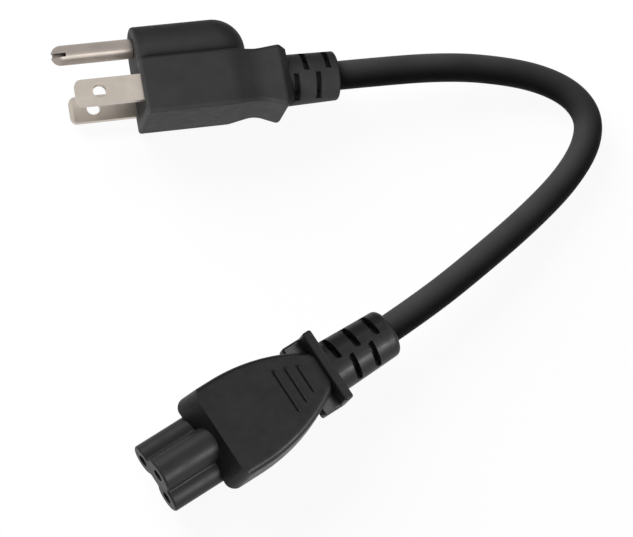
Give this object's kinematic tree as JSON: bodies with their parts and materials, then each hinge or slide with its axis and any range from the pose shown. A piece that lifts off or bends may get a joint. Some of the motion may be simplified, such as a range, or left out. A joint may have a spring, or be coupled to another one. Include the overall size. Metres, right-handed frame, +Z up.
{
  "type": "cloverleaf power cord",
  "caption": "Short mains cord with a moulded plug of flat blades and a round earth pin, a round black cord and a cloverleaf appliance connector.",
  "frame": {"origin": "on the plug's flat underside, on the blades' centre line, 12 mm behind the plug's face", "axes": "-X along the prongs, +X towards the cord, +Y to the earth pin's side, +Z up"},
  "size_m": [0.1332, 0.1149, 0.0191],
  "materials": {
    "plug_vinyl": "satin black moulded vinyl",
    "connector_vinyl": "satin black moulded vinyl",
    "cord_vinyl": "satin black extruded vinyl",
    "bridge_plastic": "matt black moulded plastic",
    "insert_plastic": "satin black moulded plastic",
    "plated_prongs": "nickel-plated brass, lightly brushed",
    "contact_brass": "bare spring brass",
    "copper": "stranded copper",
    "line_insulation": "black core insulation",
    "neutral_insulation": "white core insulation",
    "earth_insulation": "green core insulation"
  },
  "bodies": {
    "root": {"plug_overmould": "plug_vinyl", "plug_bridge": "bridge_plastic", "line_blade": "plated_prongs", "neutral_blade": "plated_prongs", "ground_pin": "plated_prongs", "cord_jacket": "cord_vinyl", "line_core_insulation": "line_insulation", "neutral_core_insulation": "neutral_insulation", "earth_core_insulation": "earth_insulation", "line_conductor": "copper", "neutral_conductor": "copper", "earth_conductor": "copper", "connector_overmould": "connector_vinyl", "connector_insert": "insert_plastic", "insert_back_cover": "insert_plastic", "line_contact": "contact_brass", "neutral_contact": "contact_brass", "earth_contact": "contact_brass"}
  },
  "joints": []
}
